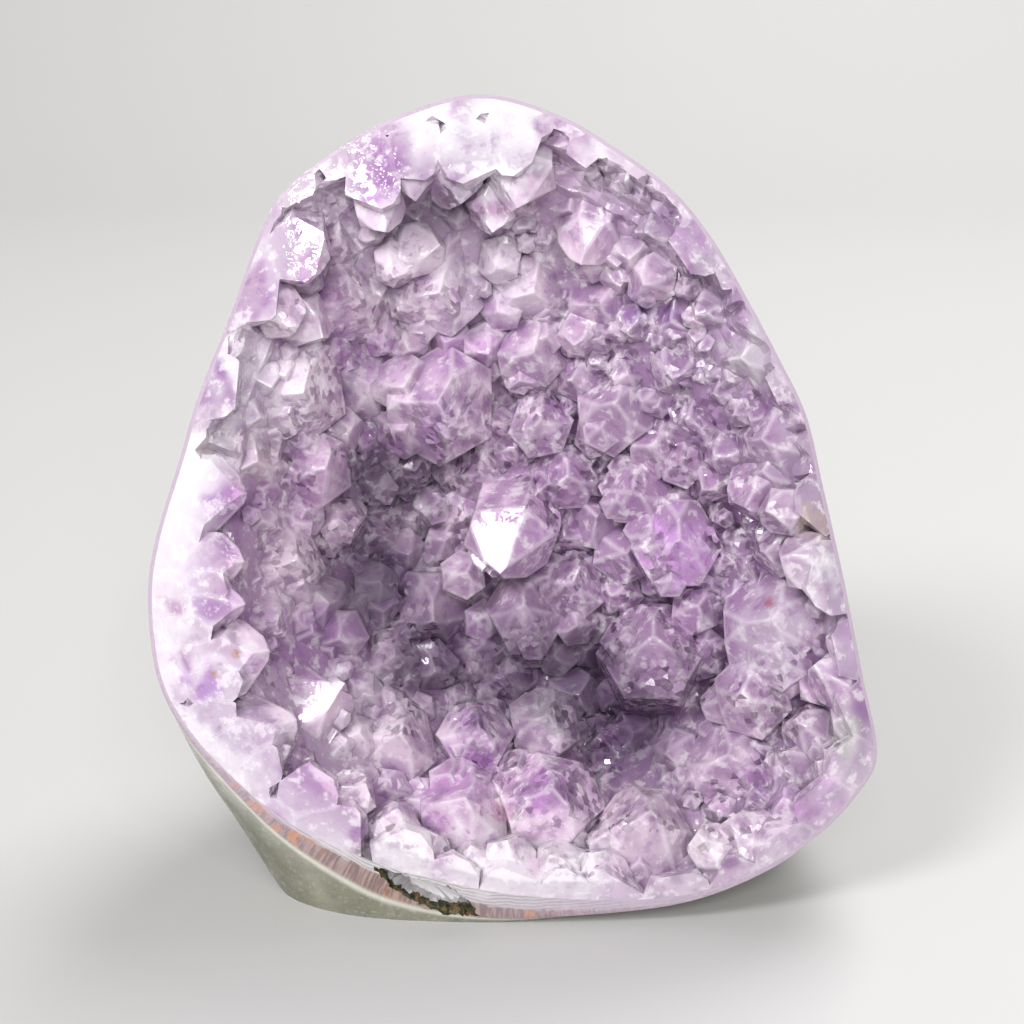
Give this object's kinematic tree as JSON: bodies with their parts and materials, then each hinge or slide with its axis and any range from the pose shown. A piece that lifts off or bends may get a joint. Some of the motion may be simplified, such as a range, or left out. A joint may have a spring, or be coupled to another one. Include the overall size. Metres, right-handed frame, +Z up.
{
  "type": "amethyst geode",
  "caption": "Free-standing amethyst geode: a cut and ground stone on a flat foot, its hollow front lined with translucent purple crystals.",
  "frame": {"origin": "on the flat foot, under the middle of the front, in the plane that the stone stands on", "axes": "+Z up, -Y out of the open front, +X to the right as seen from in front"},
  "size_m": [0.0848, 0.0573, 0.0937],
  "materials": {
    "rock": "ground and waxed grey-green rock",
    "amethyst": "translucent lilac crystal, cut flush and polished at the rim"
  },
  "bodies": {
    "root": {"stone_rind": "rock", "amethyst_crust": "amethyst"}
  },
  "joints": []
}
